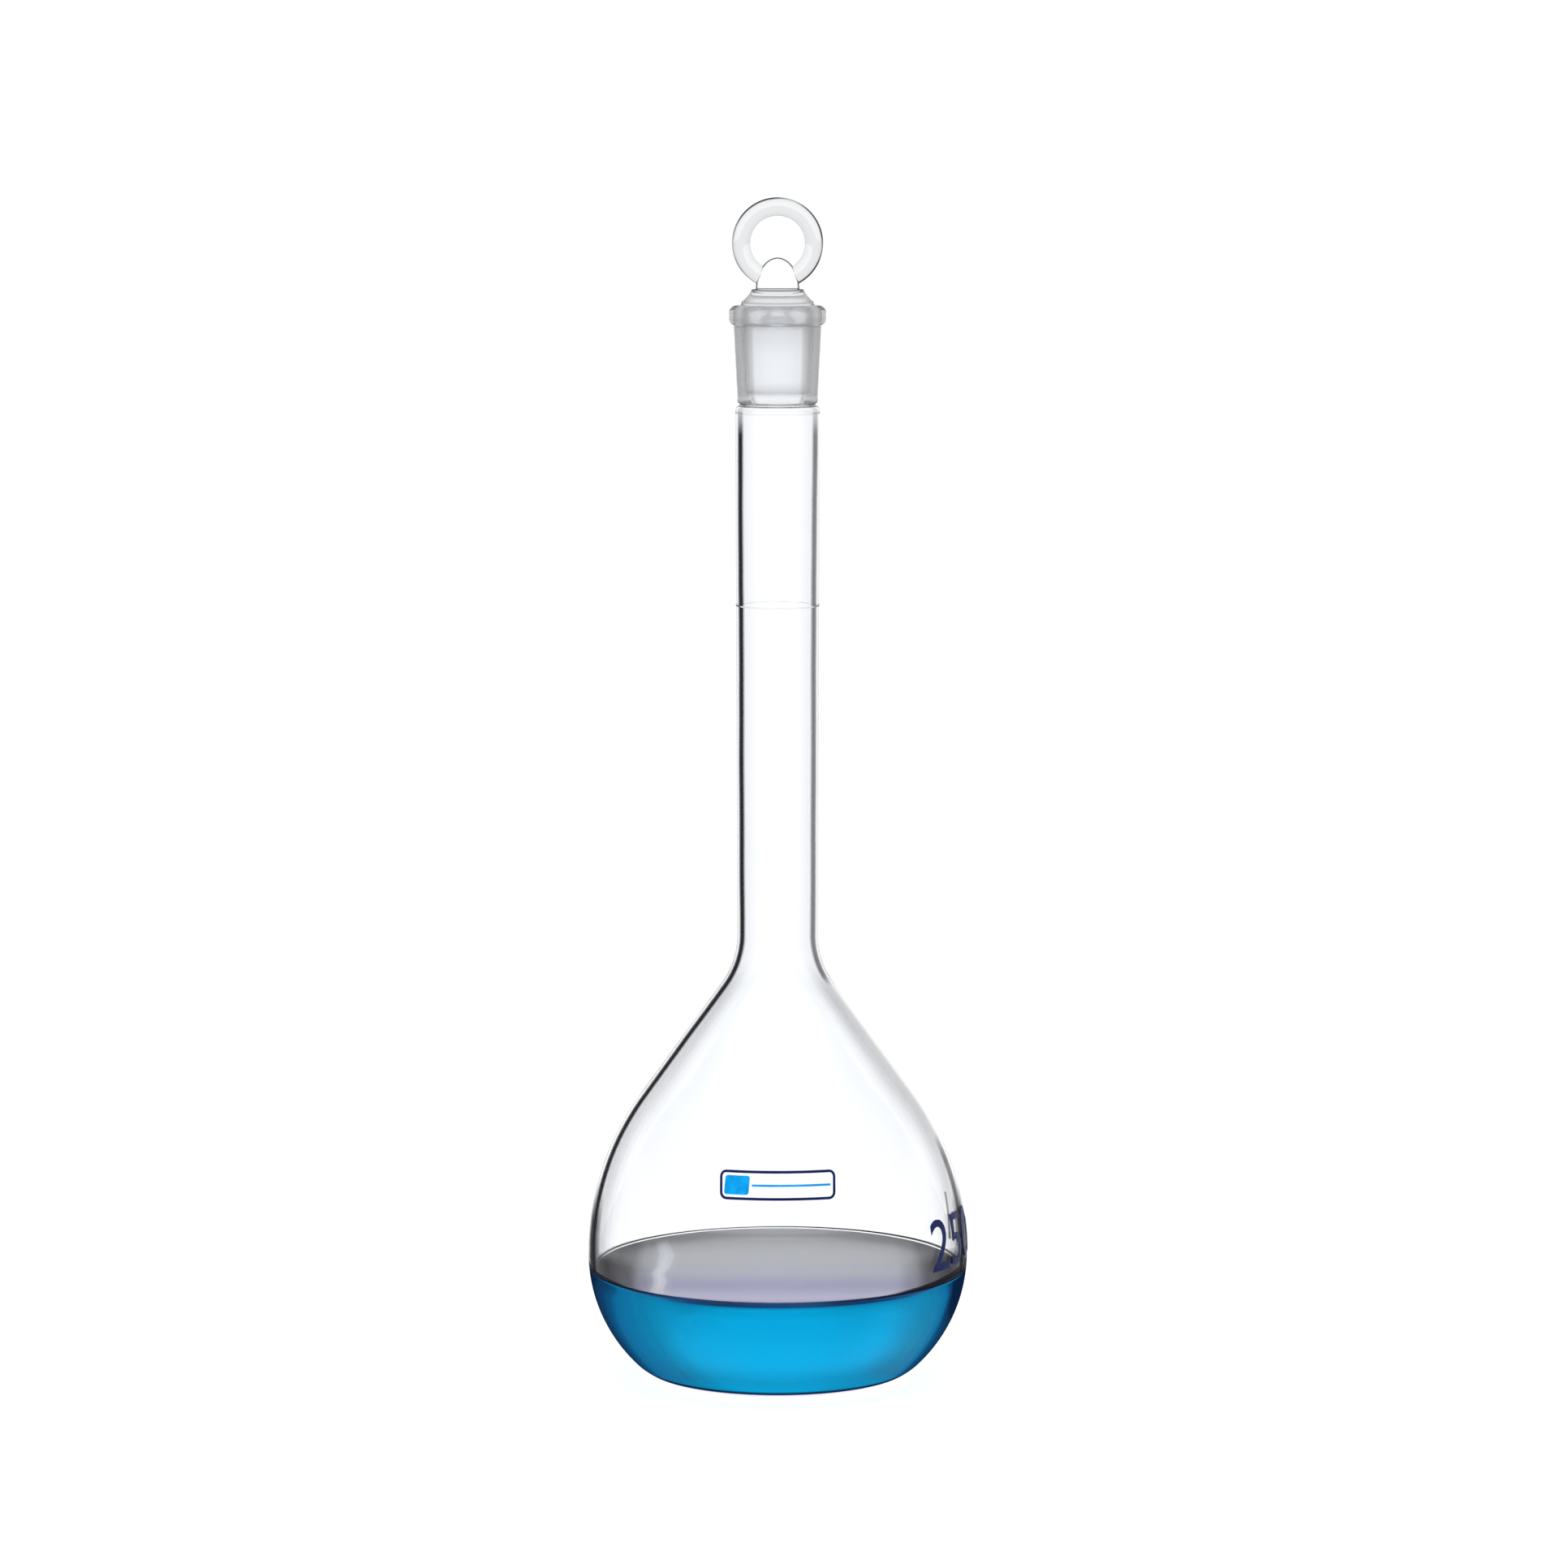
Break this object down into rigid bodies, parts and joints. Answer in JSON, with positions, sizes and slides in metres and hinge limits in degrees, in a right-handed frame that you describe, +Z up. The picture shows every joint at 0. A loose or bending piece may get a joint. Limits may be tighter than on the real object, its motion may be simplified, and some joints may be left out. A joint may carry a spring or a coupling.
{
  "type": "volumetric flask",
  "caption": "Glass volumetric flask with a pear-shaped bulb, long neck, ground socket and lift-out ring-handle stopper, part filled with blue solution.",
  "frame": {"origin": "middle of the foot, in the plane that the flask stands on, on the flask's axis", "axes": "+Z up along the axis, out through the neck; -Y is the front, with the marking field; the ring handle lies in the XZ plane"},
  "size_m": [0.0782, 0.078, 0.2416],
  "materials": {
    "clear_glass": "clear colourless borosilicate glass, fire polished",
    "ground_glass": "clear glass with its joint face finely ground, grey and translucent",
    "white_enamel": "fired white ceramic enamel, satin",
    "blue_enamel": "fired dark blue ceramic enamel, satin",
    "sky_blue_enamel": "fired sky blue ceramic enamel, satin",
    "blue_solution": "clear, strongly coloured blue aqueous solution with a still surface"
  },
  "bodies": {
    "flask": {"bulb": "clear_glass", "neck_tube": "clear_glass", "ground_socket": "ground_glass", "solution": "blue_solution", "graduation_line": "white_enamel", "marking_frame": "blue_enamel", "marking_tab": "sky_blue_enamel", "marking_line": "sky_blue_enamel", "capacity_mark_2": "blue_enamel", "capacity_mark_5": "blue_enamel", "capacity_mark_0": "blue_enamel", "capacity_mark_m": "blue_enamel", "capacity_mark_l": "blue_enamel"},
    "stopper": {"stopper_plug": "ground_glass", "ring_handle": "clear_glass"}
  },
  "joints": [
    {"name": "stopper_lift", "type": "slide", "parent": "flask", "child": "stopper", "axis": [0, 0, 1], "range_m": [0, 0.035]}
  ]
}
